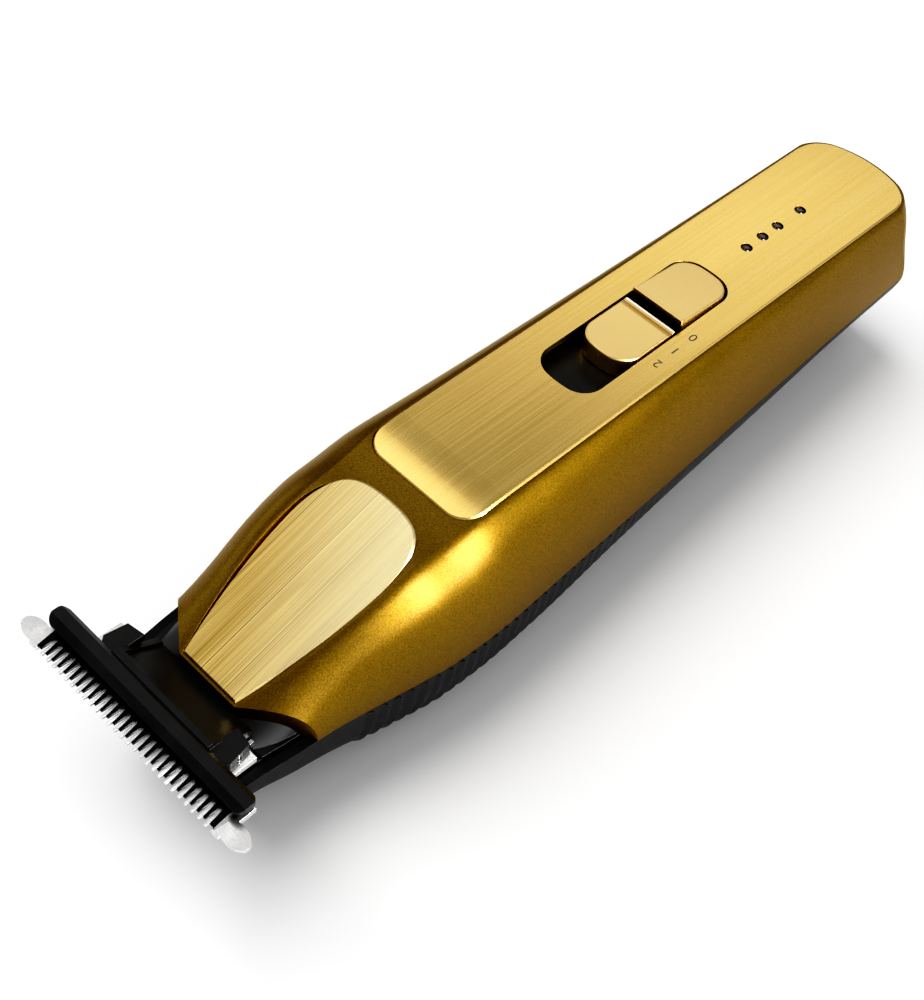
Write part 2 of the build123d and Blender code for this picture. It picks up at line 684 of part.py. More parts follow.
with BuildPart() as charge_socket:
    add(rod(SOCKET_RADIUS, SOCKET_FACE_Y - 9.0, 9.0, z=SOCKET_Z))
    add(rod(3.0, SOCKET_FACE_Y - 4.0, 5.0, z=SOCKET_Z), mode=Mode.SUBTRACT)
    add(rod(2.0, SOCKET_FACE_Y - 8.0, 5.0, z=SOCKET_Z), mode=Mode.SUBTRACT)
finish(charge_socket.part, "charge_socket")

with BuildPart() as charge_pin:
    add(rod(0.6, SOCKET_FACE_Y - 8.0, 3.4, z=SOCKET_Z))
finish(charge_pin.part, "charge_pin")

# ---------------------------------------------------------------- motor
with BuildPart() as motor_can:
    add(rod(MOTOR_RADIUS, MOTOR_FRONT_Y, MOTOR_REAR_Y - MOTOR_FRONT_Y - 2.0, z=MOTOR_Z))
    add(
        rod(MOTOR_RADIUS - 0.8, MOTOR_FRONT_Y + 1.0, MOTOR_REAR_Y - MOTOR_FRONT_Y, z=MOTOR_Z),
        mode=Mode.SUBTRACT,
    )
    add(rod(2.5, MOTOR_FRONT_Y - 1, 3, z=MOTOR_Z), mode=Mode.SUBTRACT)
    with BuildSketch(Plane.XZ.offset(-(MOTOR_FRONT_Y - 1))):
        with Locations(*MOTOR_SCREWS):
            Circle(0.95)
    extrude(amount=-3, mode=Mode.SUBTRACT)
finish(motor_can.part, "motor_can")

with BuildPart() as motor_magnets:
    add(rod(
        MOTOR_RADIUS - 0.85, MOTOR_FRONT_Y + 5, 16, z=MOTOR_Z, radius_in=MOTOR_RADIUS - 2.3
    ))
    add(block((-1.5, 1.5), (-60, -20), (0, 30)), mode=Mode.SUBTRACT)
finish(motor_magnets.part, "motor_magnets")

with BuildPart() as motor_end_cap:
    add(rod(MOTOR_RADIUS, MOTOR_REAR_Y - 1.95, 1.95, z=MOTOR_Z))
    add(rod(2.5, MOTOR_REAR_Y - 4, 6, z=MOTOR_Z), mode=Mode.SUBTRACT)
finish(motor_end_cap.part, "motor_end_cap")

with BuildPart() as motor_bushings:
    for start, length in ((MOTOR_FRONT_Y - 0.6, 2.6), (MOTOR_REAR_Y - 2.4, 2.8)):
        add(rod(2.45, start, length, z=MOTOR_Z, radius_in=SHAFT_RADIUS + 0.04))
finish(motor_bushings.part, "motor_bushings")

with BuildPart() as motor_shaft:
    add(rod(SHAFT_RADIUS, CAM_FRONT_Y + 1.5, MOTOR_REAR_Y - CAM_FRONT_Y - 0.5, z=MOTOR_Z))
finish(motor_shaft.part, "motor_shaft")

with BuildPart() as armature:
    add(rod(MOTOR_RADIUS - 2.7, MOTOR_FRONT_Y + 6, 13, z=MOTOR_Z))
    for angle in (90, 210, 330):
        # the gap between two poles
        slot_x = 4.6 * cos(radians(angle))
        slot_z = MOTOR_Z + 4.6 * sin(radians(angle))
        add(rod(1.3, MOTOR_FRONT_Y + 5, 16, x=slot_x, z=slot_z), mode=Mode.SUBTRACT)
    add(rod(SHAFT_RADIUS, MOTOR_FRONT_Y + 5, 16, z=MOTOR_Z), mode=Mode.SUBTRACT)
finish(armature.part, "armature")

with BuildPart() as commutator:
    add(rod(2.3, MOTOR_FRONT_Y + 19.3, 3.4, z=MOTOR_Z, radius_in=SHAFT_RADIUS))
finish(commutator.part, "commutator")

with BuildPart() as eccentric_cam:
    add(rod(3.2, CAM_FRONT_Y, CAM_LENGTH, z=MOTOR_Z))
    add(rod(SHAFT_RADIUS, CAM_FRONT_Y + 1.5, CAM_LENGTH, z=MOTOR_Z), mode=Mode.SUBTRACT)
    # half of the rim is cut back to balance the crank pin
    add(
        block((-5, 5), (CAM_FRONT_Y + 1.5, CAM_FRONT_Y + 9), (MOTOR_Z + 1.7, MOTOR_Z + 5)),
        mode=Mode.SUBTRACT,
    )
finish(eccentric_cam.part, "eccentric_cam")

with BuildPart() as crank_pin:
    add(rod(CRANK_RADIUS, CRANK_FRONT_Y, CAM_FRONT_Y - CRANK_FRONT_Y, z=MOTOR_Z + CRANK_OFFSET))
finish(crank_pin.part, "crank_pin")

with BuildPart() as motor_screws:
    for start, length, radius in ((MOTOR_FRONT_Y - 3.4, 1.0, 1.6), (MOTOR_FRONT_Y - 2.4, 3.2, 0.85)):
        with BuildSketch(Plane.XZ.offset(-start)):
            with Locations(*MOTOR_SCREWS):
                Circle(radius)
        extrude(amount=-length)
finish(motor_screws.part, "motor_screws")

# ---------------------------------------------------------------- neck
with BuildPart() as neck_frame:
    # bulkhead bolted to the motor, and the tray that the blade block slides onto
    add(block((-13, 13), (NECK_FRONT_Y, MOTOR_FRONT_Y - CLEAR), (4, 26)))
    add(block((-13, 13), (TRAY_FRONT_Y, NECK_FRONT_Y), (4, NECK_TOP_Z - 0.1)))
    for sign in (1, -1):
        add(block(
            sorted((sign * RAIL_HALF, sign * 13)), (TRAY_FRONT_Y, NECK_FRONT_Y), (10, RAIL_TOP_Z)
        ))
    with BuildPart(mode=Mode.PRIVATE) as room:
        add(upper_skin(WALL + 0.25, CEILING + 0.25))
        add(lower_skin(WALL + 0.25, PARTING_Z + 1.0))
    add(room.part, mode=Mode.INTERSECT)
    add(rod(CAM_ROOM, CAM_FRONT_Y - 1.0, CAM_LENGTH + 1.5, z=MOTOR_Z), mode=Mode.SUBTRACT)
    add(rod(2.6, -62, 8, z=MOTOR_Z), mode=Mode.SUBTRACT)
    add(rod(2.2, -72, 9, z=MOTOR_Z), mode=Mode.SUBTRACT)
    add(rod(SEAL_RADIUS + CLEAR, -75, 75 + NECK_FRONT_Y + 0.9, z=MOTOR_Z), mode=Mode.SUBTRACT)
    for x, z in MOTOR_SCREWS:
        add(rod(1.8, CAM_FRONT_Y - 1.0, 6.6, x=x, z=z), mode=Mode.SUBTRACT)
        add(rod(0.95, -60, 6, x=x, z=z), mode=Mode.SUBTRACT)
finish(neck_frame.part, "neck_frame")

with BuildPart() as neck_seal:
    add(rod(SEAL_RADIUS, NECK_FRONT_Y, 0.85, z=MOTOR_Z, radius_in=1.9))
finish(neck_seal.part, "neck_seal")

with BuildPart() as retaining_clips:
    for sign in (1, -1):
        with BuildSketch(Plane.XY.offset(14.4)):
            with BuildLine():
                Polyline(
                    (sign * 10.05, NECK_FRONT_Y - CLEAR), (sign * 10.05, -72.4),
                    (sign * 10.6, -75.2), (sign * 11.1, -75.2), (sign * 10.6, -72.2),
                    (sign * 10.6, NECK_FRONT_Y - CLEAR), (sign * 10.05, NECK_FRONT_Y - CLEAR),
                )
            make_face()
        extrude(amount=5.4)
finish(retaining_clips.part, "retaining_clips")

# ---------------------------------------------------------------- blade block
with BuildPart() as blade_holder:
    # bridge: a hood that slopes down from the bar to the neck, between two cheeks
    with BuildSketch(Plane.YZ.offset(-HOLDER_HALF)):
        with BuildLine():
            Polyline(
                (-76.1, HOOD_TOP_Z), (-75.2, HOOD_TOP_Z), (HOOD_REAR_Y, 21.0), (HOOD_REAR_Y, 19.3),
                (HOLDER_REAR_Y, 18.6), (HOLDER_REAR_Y, 14.4), (-74.0, 14.4), (-76.1, 17.0),
                (-76.1, HOOD_TOP_Z),
            )
        make_face()
    extrude(amount=2 * HOLDER_HALF)
    with BuildSketch(Plane.YZ.offset(-TUNNEL_HALF)):
        with BuildLine():
            Polyline(
                (-78, BAR_BOTTOM_Z), (-75.6, BAR_BOTTOM_Z), (HOLDER_REAR_Y - 1.0, 18.8),
                (HOLDER_REAR_Y - 1.0, 10), (-78, 10), (-78, BAR_BOTTOM_Z),
            )
        make_face()
    extrude(amount=2 * TUNNEL_HALF, mode=Mode.SUBTRACT)
    # way in for the crank pin
    add(rod(2.6, -73, 6, z=MOTOR_Z), mode=Mode.SUBTRACT)
    add(block((-2.6, 2.6), (-73, -68), (10, MOTOR_Z)), mode=Mode.SUBTRACT)
    # shallow tray sunk in the slope, which leaves a rim on both sides
    with BuildSketch(Plane.YZ.offset(-8.8)):
        with BuildLine():
            Polyline(
                (-74.6, 24.3), (HOOD_REAR_Y + 1, 19.9), (HOOD_REAR_Y + 1, 30), (-74.6, 30),
                (-74.6, 24.3),
            )
        make_face()
    extrude(amount=17.6, mode=Mode.SUBTRACT)
    # cross bar over the cutter, with rounded ends
    with BuildPart(mode=Mode.PRIVATE) as bar:
        with BuildSketch(Plane.YZ.offset(-BAR_HALF)):
            with BuildLine():
                Polyline(
                    (BAR_FRONT_Y, BAR_BOTTOM_Z), (BAR_FRONT_Y, BAR_BOTTOM_Z + 0.4),
                    (BAR_FRONT_Y + 1.1, BAR_TOP_Z), (BAR_REAR_Y - 0.7, BAR_TOP_Z),
                    (BAR_REAR_Y, BAR_TOP_Z - 0.6), (BAR_REAR_Y, BAR_BOTTOM_Z),
                    (BAR_FRONT_Y, BAR_BOTTOM_Z),
                )
            make_face()
        extrude(amount=2 * BAR_HALF)
        with BuildSketch(Plane.XY.offset(BAR_BOTTOM_Z)):
            with Locations((0, (BAR_FRONT_Y + BAR_REAR_Y) / 2)):
                RectangleRounded(2 * BAR_HALF, BAR_REAR_Y - BAR_FRONT_Y, BAR_CORNER)
        extrude(amount=BAR_TOP_Z - BAR_BOTTOM_Z, mode=Mode.INTERSECT)
    add(bar.part)
    # two wings: the tabs that are gripped, and the seats of the comb's legs
    with BuildSketch(Plane.XY.offset(COMB_TOP_Z + CLEAR)):
        for sign in (1, -1):
            with BuildLine():
                Polyline(
                    (sign * WING_ROOT, -76.1), (sign * 12.2, -76.1), (sign * 13.1, -75.0),
                    (sign * 12.5, -71.4), (sign * WING_ROOT, -70.9), (sign * WING_ROOT, -76.1),
                )
            make_face()
    extrude(amount=1.3)
    add(post(0.85, 20, COMB_TOP_Z + 1.2, BLADE_SCREWS), mode=Mode.SUBTRACT)
finish(blade_holder.part, "blade_holder")


def tooth_gaps(count, tip_y, length, mouth, root):
    """Gaps between teeth, open past tip_y and narrowing from the mouth to the root."""
    side_angle = degrees(atan2(length, (mouth - root) / 2))
    with BuildSketch() as gaps:
        with Locations((0, tip_y)):
            with GridLocations(TOOTH_PITCH, 1, count, 1):
                Trapezoid(mouth, length, side_angle, align=(Align.CENTER, Align.MIN))
        fillet(gaps.vertices().group_by(Axis.Y)[-1], radius=0.4 * root)
    return gaps.sketch


with BuildPart() as fixed_comb:
    with BuildSketch(Plane.XY.offset(COMB_TOP_Z - COMB_THICK)):
        with Locations((0, (TIP_Y + COMB_REAR_Y) / 2)):
            Rectangle(COMB_WIDTH, COMB_REAR_Y - TIP_Y)
        with Locations(*[(sign * (COMB_HALF - LOBE_LONG), TIP_Y + 1.9) for sign in (1, -1)]):
            Ellipse(LOBE_LONG, LOBE_SHORT)
        for sign in (1, -1):
            with Locations((sign * 12.0, -74.2)):
                Rectangle(4.0, 5.4)
        add(tooth_gaps(COMB_TEETH - 1, TIP_Y, COMB_TOOTH, 0.95, 0.5), mode=Mode.SUBTRACT)
    extrude(amount=COMB_THICK)
    # the teeth thin down towards their tips on the skin side
    with BuildSketch(Plane.YZ.offset(-30)):
        with BuildLine():
            Polyline(
                (TIP_Y - 1, COMB_TOP_Z - 0.3), (TIP_Y, COMB_TOP_Z - 0.45),
                (TIP_Y + 3.6, COMB_TOP_Z - COMB_THICK), (TIP_Y + 3.6, 20), (TIP_Y - 1, 20),
                (TIP_Y - 1, COMB_TOP_Z - 0.3),
            )
        make_face()
    extrude(amount=60, mode=Mode.SUBTRACT)
    add(post(0.9, 20, 30, BLADE_SCREWS), mode=Mode.SUBTRACT)
finish(fixed_comb.part, "fixed_comb")

with BuildPart() as moving_cutter:
    with BuildSketch(Plane.XY.offset(COMB_TOP_Z + 0.02)):
        with Locations((0, (CUTTER_TIP_Y + CUTTER_REAR_Y) / 2)):
            Rectangle(CUTTER_WIDTH, CUTTER_REAR_Y - CUTTER_TIP_Y)
        add(tooth_gaps(CUTTER_TEETH, CUTTER_TIP_Y, CUTTER_TOOTH, 0.9, 0.55), mode=Mode.SUBTRACT)
    extrude(amount=CUTTER_THICK)
    # bevelled tips
    with BuildSketch(Plane.YZ.offset(-30)):
        with BuildLine():
            Polyline(
                (CUTTER_TIP_Y - 1, COMB_TOP_Z + 0.3), (CUTTER_TIP_Y, COMB_TOP_Z + 0.3),
                (CUTTER_TIP_Y + 2.2, COMB_TOP_Z + 0.8), (CUTTER_TIP_Y + 2.2, 26),
                (CUTTER_TIP_Y - 1, 26), (CUTTER_TIP_Y - 1, COMB_TOP_Z + 0.3),
            )
        make_face()
    extrude(amount=60, mode=Mode.SUBTRACT)
finish(moving_cutter.part, "moving_cutter")

CUTTER_TOP_Z = COMB_TOP_Z + 0.02 + CUTTER_THICK
with BuildPart() as cutter_carriage:
    with BuildSketch(Plane.YZ.offset(-5.0)):
        with BuildLine():
            Polyline(
                (-79.0, CUTTER_TOP_Z), (-76.15, CUTTER_TOP_Z), (-76.15, 13.6), (-74.3, 13.6),
                (-74.3, 21.9), (-75.75, BAR_BOTTOM_Z - 0.12), (-79.0, BAR_BOTTOM_Z - 0.12),
                (-79.0, CUTTER_TOP_Z),
            )
        make_face()
    extrude(amount=10.0)
    # fork slot for the crank pin, with room for every cutter and crank position
    add(
        block((-FORK_HALF, FORK_HALF), (-80, -70), (10, MOTOR_Z + CRANK_OFFSET + 1.2)),
        mode=Mode.SUBTRACT,
    )
finish(cutter_carriage.part, "cutter_carriage")

with BuildPart() as blade_springs:
    for sign in (1, -1):
        with BuildSketch(Plane.XZ.offset(78.6)):
            with BuildLine():
                Polyline(
                    (sign * 6.2, BAR_BOTTOM_Z - 0.05), (sign * 10.0, BAR_BOTTOM_Z - 0.05),
                    (sign * 14.0, CUTTER_TOP_Z + 0.28), (sign * 17.0, CUTTER_TOP_Z + 0.28),
                    (sign * 17.0, CUTTER_TOP_Z + 0.05), (sign * 13.9, CUTTER_TOP_Z + 0.05),
                    (sign * 9.9, BAR_BOTTOM_Z - 0.28), (sign * 6.2, BAR_BOTTOM_Z - 0.28),
                    (sign * 6.2, BAR_BOTTOM_Z - 0.05),
                )
            make_face()
        extrude(amount=-1.6)
finish(blade_springs.part, "blade_springs")

with BuildPart() as blade_screws:
    add(post(1.5, COMB_TOP_Z - COMB_THICK - 0.9, COMB_TOP_Z - COMB_THICK, BLADE_SCREWS))
    add(post(0.8, COMB_TOP_Z - COMB_THICK - 0.1, COMB_TOP_Z + 1.1, BLADE_SCREWS))
    with BuildSketch(Plane.XY.offset(COMB_TOP_Z - COMB_THICK - 0.9)):
        with Locations(*BLADE_SCREWS):
            Rectangle(2.4, 0.4)
    extrude(amount=0.4, mode=Mode.SUBTRACT)
finish(blade_screws.part, "blade_screws")
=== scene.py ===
"""Looks of the cordless T-blade hair trimmer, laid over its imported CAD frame.

Frame: metres, X across, Y from the blade (-Y) to the tail (+Y), Z up; the trimmer lies on z = 0.
"""

import json
import math

import bpy
from mathutils import Matrix, Vector


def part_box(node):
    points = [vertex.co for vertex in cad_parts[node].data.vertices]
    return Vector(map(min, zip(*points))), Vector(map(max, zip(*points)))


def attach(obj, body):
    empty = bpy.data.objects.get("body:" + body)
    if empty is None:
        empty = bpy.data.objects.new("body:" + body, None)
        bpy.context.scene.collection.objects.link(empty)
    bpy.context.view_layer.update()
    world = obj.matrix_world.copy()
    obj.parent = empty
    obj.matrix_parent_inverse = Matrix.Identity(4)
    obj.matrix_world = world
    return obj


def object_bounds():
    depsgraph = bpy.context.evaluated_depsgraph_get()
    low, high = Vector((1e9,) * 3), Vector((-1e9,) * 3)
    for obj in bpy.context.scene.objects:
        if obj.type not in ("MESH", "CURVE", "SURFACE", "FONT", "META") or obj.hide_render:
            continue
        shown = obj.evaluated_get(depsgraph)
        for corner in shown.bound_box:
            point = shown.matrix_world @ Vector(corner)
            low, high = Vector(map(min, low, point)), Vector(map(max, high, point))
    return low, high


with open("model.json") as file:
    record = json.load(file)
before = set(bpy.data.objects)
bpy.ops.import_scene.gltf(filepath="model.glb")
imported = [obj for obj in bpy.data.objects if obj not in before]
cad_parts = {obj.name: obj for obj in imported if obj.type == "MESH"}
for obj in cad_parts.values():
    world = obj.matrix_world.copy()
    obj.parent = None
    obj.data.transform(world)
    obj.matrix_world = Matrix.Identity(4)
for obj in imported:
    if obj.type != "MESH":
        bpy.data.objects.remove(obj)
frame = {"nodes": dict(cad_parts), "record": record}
CAD_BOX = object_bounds()
NODES = frame["nodes"]
MM = 0.001


# ---------------------------------------------------------------- shader building
class Shader:
    """A Principled material and short calls for the nodes that feed it."""

    def __init__(self, name, **sockets):
        self.name = name
        self.material = bpy.data.materials.new(name)
        self.material.use_nodes = True
        self.tree = self.material.node_tree
        self.surface = self.tree.nodes["Principled BSDF"]
        self.place = self.node("ShaderNodeTexCoord").outputs["Object"]
        for socket, value in sockets.items():
            self.surface.inputs[socket.replace("_", " ")].default_value = value

    def node(self, kind, **properties):
        made = self.tree.nodes.new(kind)
        for key, value in properties.items():
            setattr(made, key, value)
        return made

    def feed(self, socket, value):
        """Link an output to an input, or set the input when value is a plain one."""
        if isinstance(value, bpy.types.NodeSocket):
            self.tree.links.new(value, socket)
        else:
            socket.default_value = value

    def noise(self, size_mm, detail=2.0, roughness=0.5, shift=(0, 0, 0)):
        """Noise whose cells measure size_mm along x, y and z; a shift gives another pattern."""
        mapping = self.node("ShaderNodeMapping")
        mapping.inputs["Location"].default_value = shift
        mapping.inputs["Scale"].default_value = [1 / (s * MM) for s in size_mm]
        self.feed(mapping.inputs["Vector"], self.place)
        made = self.node("ShaderNodeTexNoise")
        made.inputs["Scale"].default_value = 1.0
        made.inputs["Detail"].default_value = detail
        made.inputs["Roughness"].default_value = roughness
        self.feed(made.inputs["Vector"], mapping.outputs["Vector"])
        return made.outputs["Fac"]

    def along(self, axis):
        """Distance along the object's X, Y or Z, in metres."""
        parts = self.node("ShaderNodeSeparateXYZ")
        self.feed(parts.inputs[0], self.place)
        return parts.outputs[axis]

    def band(self, axis, low_mm, high_mm, edge_mm=0.05):
        """1 where the object's coordinate lies between low and high, fading to 0 over edge."""
        place = self.along(axis)
        rise = self.spread(place, (low_mm - edge_mm) * MM, low_mm * MM)
        fall = self.spread(place, high_mm * MM, (high_mm + edge_mm) * MM, 1.0, 0.0)
        return self.math("MULTIPLY", rise, fall)

    def spread(self, value, low, high, to_low=0.0, to_high=1.0):
        """value's range low..high stretched to to_low..to_high, held at both ends."""
        made = self.node("ShaderNodeMapRange")
        for name, number in zip(("From Min", "From Max", "To Min", "To Max"),
                                (low, high, to_low, to_high)):
            made.inputs[name].default_value = number
        self.feed(made.inputs["Value"], value)
        return made.outputs["Result"]

    def math(self, operation, a, b):
        made = self.node("ShaderNodeMath", operation=operation)
        self.feed(made.inputs[0], a)
        self.feed(made.inputs[1], b)
        return made.outputs[0]

    def blend(self, factor, first, second):
        """Colour between first and second."""
        made = self.node("ShaderNodeMix", data_type="RGBA")
        self.feed(made.inputs["Factor"], factor)
        ends = [s for s in made.inputs if s.type == "RGBA"]
        for socket, colour in zip(ends, (first, second)):
            if isinstance(colour, tuple):
                colour = (*colour, 1.0)
            self.feed(socket, colour)
        return [s for s in made.outputs if s.type == "RGBA"][0]

    def colour(self, value):
        self.feed(self.surface.inputs["Base Color"], value)

    def roughness(self, value):
        self.feed(self.surface.inputs["Roughness"], value)

    def relief(self, height, depth_mm, rounding_mm=0.0):
        """Bump of that depth, over edges that catch the light as if rounded."""
        bump = self.node("ShaderNodeBump")
        bump.inputs["Strength"].default_value = 1.0
        bump.inputs["Distance"].default_value = depth_mm * MM
        self.feed(bump.inputs["Height"], height)
        if rounding_mm:
            rounded = self.node("ShaderNodeBevel", samples=4)
            rounded.inputs["Radius"].default_value = rounding_mm * MM
            self.feed(bump.inputs["Normal"], rounded.outputs["Normal"])
        self.feed(self.surface.inputs["Normal"], bump.outputs["Normal"])


# ---------------------------------------------------------------- brushed plates
LONG = 1000.0  # a noise size, in mm, over which the pattern hardly changes
LINE_LENGTH = 30.0  # length, in mm, of a fine brushed line
FINE_SHARE = 0.7  # the fine lines' share of the brushed pattern
STREAK_NOISE = (0.60, 0.72)  # noise values between which a streak fades in
STREAK_SHADE = 0.3  # a streak's tone as a share of the dark one
PALE_START = -34.0  # x + y / 2, in mm, where the nose plate starts to pale
PALE_SPAN = 20.0  # mm from there to the full paleness
PALE_SHARE = 0.55  # how far the plate's tone goes over to the paler one


def brushed_metal(name, dark, light, rough, width_mm, depth_mm, streaks, paler=None):
    """Metal brushed lengthwise: fine lines over broader ones, with sparse full-length streaks."""
    shader = Shader(name, Metallic=1.0, Anisotropic=0.3)
    fine = shader.noise((width_mm, LINE_LENGTH, LONG), 3.0, 0.6)
    broad = shader.noise((6 * width_mm, 3 * LINE_LENGTH, LONG), shift=(3.1, 0.7, 0.2))
    lines = shader.math(
        "ADD", shader.math("MULTIPLY", fine, FINE_SHARE), shader.math("MULTIPLY", broad, 1 - FINE_SHARE))
    tone = shader.blend(shader.spread(lines, 0.36, 0.64), dark, light)
    long_lines = shader.noise((1.1 * width_mm, 6 * LINE_LENGTH, LONG), 1.0, shift=(8.3, 2.9, 0.4))
    streak = shader.spread(long_lines, *STREAK_NOISE, 0.0, streaks)
    tone = shader.blend(streak, tone, tuple(STREAK_SHADE * c for c in dark))
    if paler:
        # the plate's tone turns paler towards its right rear corner
        corner = shader.math(
            "ADD", shader.along("X"), shader.math("MULTIPLY", shader.along("Y"), 0.5))
        share = shader.spread(corner, PALE_START * MM, (PALE_START + PALE_SPAN) * MM)
        tone = shader.blend(share, tone, shader.blend(PALE_SHARE, tone, paler))
    shader.colour(tone)
    shader.roughness(shader.spread(lines, 0.3, 0.7, *rough))
    shader.relief(lines, depth_mm, rounding_mm=0.08)
    return shader


# ---------------------------------------------------------------- painted shell
PAINT_EDGE = (0.65, 0.52, 0.01)  # the paint's reflection at a flat angle, a deeper gold


def satin_paint(name, dark, light, rough):
    """Lacquered metallic paint with fine flake."""
    shader = Shader(name, Metallic=1.0, Specular_Tint=(*PAINT_EDGE, 1.0),
                    Coat_Weight=0.35, Coat_Roughness=0.28)
    flake = shader.noise((0.20,) * 3, 1.0, 0.4)
    cloud = shader.noise((14.0,) * 3)
    shader.colour(shader.blend(shader.spread(flake, 0.3, 0.7), dark, light))
    shader.roughness(shader.spread(cloud, 0.3, 0.7, *rough))
    shader.relief(flake, 0.004, rounding_mm=0.12)
    return shader


# ---------------------------------------------------------------- switch knob
# stretches of the knob in mm: along Y, and for the groove's painted shade also up Z
KNOB_DIP = (19.6, 20.2)
KNOB_LIP = (20.3, 20.6)
KNOB_GROOVE = (20.62, 22.0)
PAINTED_GROOVE_HEIGHT = (31.0, 34.7)
# painted shade: the colour the knob takes in its dip, where shade falls
PAINTED_DIP_SHADE = (0.30, 0.19, 0.06)
# painted highlight: the bright colour along the lip's edge
PAINTED_LIP_HIGHLIGHT = (1.0, 0.94, 0.82)
# painted shade and dark reflection: the near-black colour of the groove and the fin's front face
PAINTED_GROOVE_SHADE = (0.004, 0.003, 0.002)


def satin_metal(name, tone):
    """Satin plating on the knob, with painted shade in its dip, a painted highlight on its lip, and
    painted shade and dark reflection in its groove.
    """
    shader = Shader(name, Metallic=1.0)
    grain = shader.noise((0.05,) * 3)
    light_tone = tuple(min(1.0, 1.06 * c) for c in tone)
    plating_and_painted_light = shader.blend(shader.spread(grain, 0.3, 0.7), tone, light_tone)
    # painted shade in the dip in front of the lip
    shade = shader.math("MULTIPLY", shader.band("Y", *KNOB_DIP, edge_mm=0.6), 0.5)
    plating_and_painted_light = shader.blend(shade, plating_and_painted_light, PAINTED_DIP_SHADE)
    # painted highlight along the lip
    plating_and_painted_light = shader.blend(shader.band("Y", *KNOB_LIP), plating_and_painted_light, PAINTED_LIP_HIGHLIGHT)
    # painted shade and dark reflection in the groove, up to the fin's front face
    painted_groove_mask = shader.math(
        "MULTIPLY", shader.band("Y", *KNOB_GROOVE), shader.band("Z", *PAINTED_GROOVE_HEIGHT))
    shader.colour(shader.blend(painted_groove_mask, plating_and_painted_light, PAINTED_GROOVE_SHADE))
    shader.roughness(shader.spread(grain, 0.3, 0.7, 0.27, 0.33))
    shader.relief(grain, 0.001, rounding_mm=0.15)
    return shader


# ---------------------------------------------------------------- other materials
def moulding(name, dark, light, rough=(0.36, 0.5), specular=0.5):
    """Moulded plastic or rubber with a fine eroded grain and a little uneven gloss."""
    shader = Shader(name, Specular_IOR_Level=specular)
    grain = shader.noise((0.12,) * 3, 2.0, 0.55)
    cloud = shader.noise((6.0,) * 3, 3.0)
    shader.colour(shader.blend(shader.spread(cloud, 0.35, 0.65), dark, light))
    shader.roughness(shader.spread(cloud, 0.3, 0.7, *rough))
    shader.relief(grain, 0.006, rounding_mm=0.12)
    return shader


def ground_metal(name, dark, light, line_mm=(0.9, 0.05, 0.9), rough=(0.18, 0.34)):
    """Bare or plated metal with fine grinding lines and faint smudges."""
    shader = Shader(name, Metallic=1.0)
    lines = shader.noise(line_mm, 2.0, 0.6)
    smudge = shader.noise((3.0,) * 3, 3.0)
    shader.colour(shader.blend(shader.spread(lines, 0.3, 0.7), dark, light))
    shader.roughness(shader.spread(smudge, 0.35, 0.65, *rough))
    shader.relief(lines, 0.002, rounding_mm=0.06)
    return shader


def lamp_glass(name):
    """Smoked lens: almost black, very smooth."""
    shader = Shader(name, Coat_Weight=1.0, Coat_Roughness=0.03, Specular_IOR_Level=0.3)
    depth = shader.noise((0.6,) * 3, 1.0)
    shader.colour(shader.blend(depth, (0.006, 0.003, 0.002), (0.030, 0.014, 0.006)))
    shader.roughness(shader.spread(depth, 0.3, 0.7, 0.08, 0.14))
    shader.relief(depth, 0.001)
    return shader


BLACK = dict(dark=(0.005, 0.005, 0.005), light=(0.009, 0.009, 0.009))
LOOKS = {look.name: look.material for look in (
    satin_paint("gold_paint", (0.108, 0.060, 0.0012), (0.215, 0.122, 0.0030), (0.33, 0.39)),
    brushed_metal("brushed_gold", (0.76, 0.52, 0.15), (0.92, 0.68, 0.26), (0.19, 0.27),
                  width_mm=0.10, depth_mm=0.003, streaks=0.12),
    brushed_metal("coarse_brushed_gold", (0.37, 0.23, 0.04), (0.84, 0.63, 0.24), (0.28, 0.42),
                  width_mm=0.16, depth_mm=0.008, streaks=0.8, paler=(1.0, 0.92, 0.62)),
    satin_metal("satin_gold", (0.95, 0.70, 0.30)),
    moulding("black_grip", **BLACK, rough=(0.42, 0.55), specular=0.24),
    moulding("black_plastic", **BLACK, rough=(0.28, 0.42), specular=0.36),
    ground_metal("black_screw", (0.03, 0.03, 0.03), (0.06, 0.06, 0.06)),
    moulding("seal_rubber", **BLACK, rough=(0.6, 0.75), specular=0.3),
    moulding("board_green", (0.01, 0.10, 0.03), (0.02, 0.17, 0.06), (0.25, 0.35)),
    moulding("chip_white", (0.62, 0.60, 0.50), (0.75, 0.74, 0.66), (0.2, 0.3)),
    lamp_glass("lamp_lens"),
    ground_metal("bright_steel", (0.36, 0.36, 0.36), (0.52, 0.52, 0.52)),
    ground_metal("polished_steel", (0.62, 0.62, 0.62), (0.80, 0.80, 0.79)),
    ground_metal("black_coated_steel", (0.010, 0.010, 0.011), (0.022, 0.022, 0.024),
                 rough=(0.3, 0.42)),
    ground_metal("nickel", (0.50, 0.47, 0.40), (0.66, 0.63, 0.56)),
    moulding("battery_sleeve", (0.02, 0.12, 0.34), (0.03, 0.18, 0.45), (0.18, 0.28)),
    moulding("magnet", (0.05, 0.05, 0.055), (0.09, 0.09, 0.095), (0.5, 0.65)),
    ground_metal("bronze", (0.42, 0.26, 0.10), (0.58, 0.38, 0.16)),
    ground_metal("lamination", (0.22, 0.20, 0.19), (0.36, 0.34, 0.32), line_mm=(0.4, 0.35, 0.4)),
)}
for subpart in frame["record"]["subparts"]:
    for place in NODES[subpart["node"]].material_slots:
        place.material = LOOKS[subpart["material_slot"]]


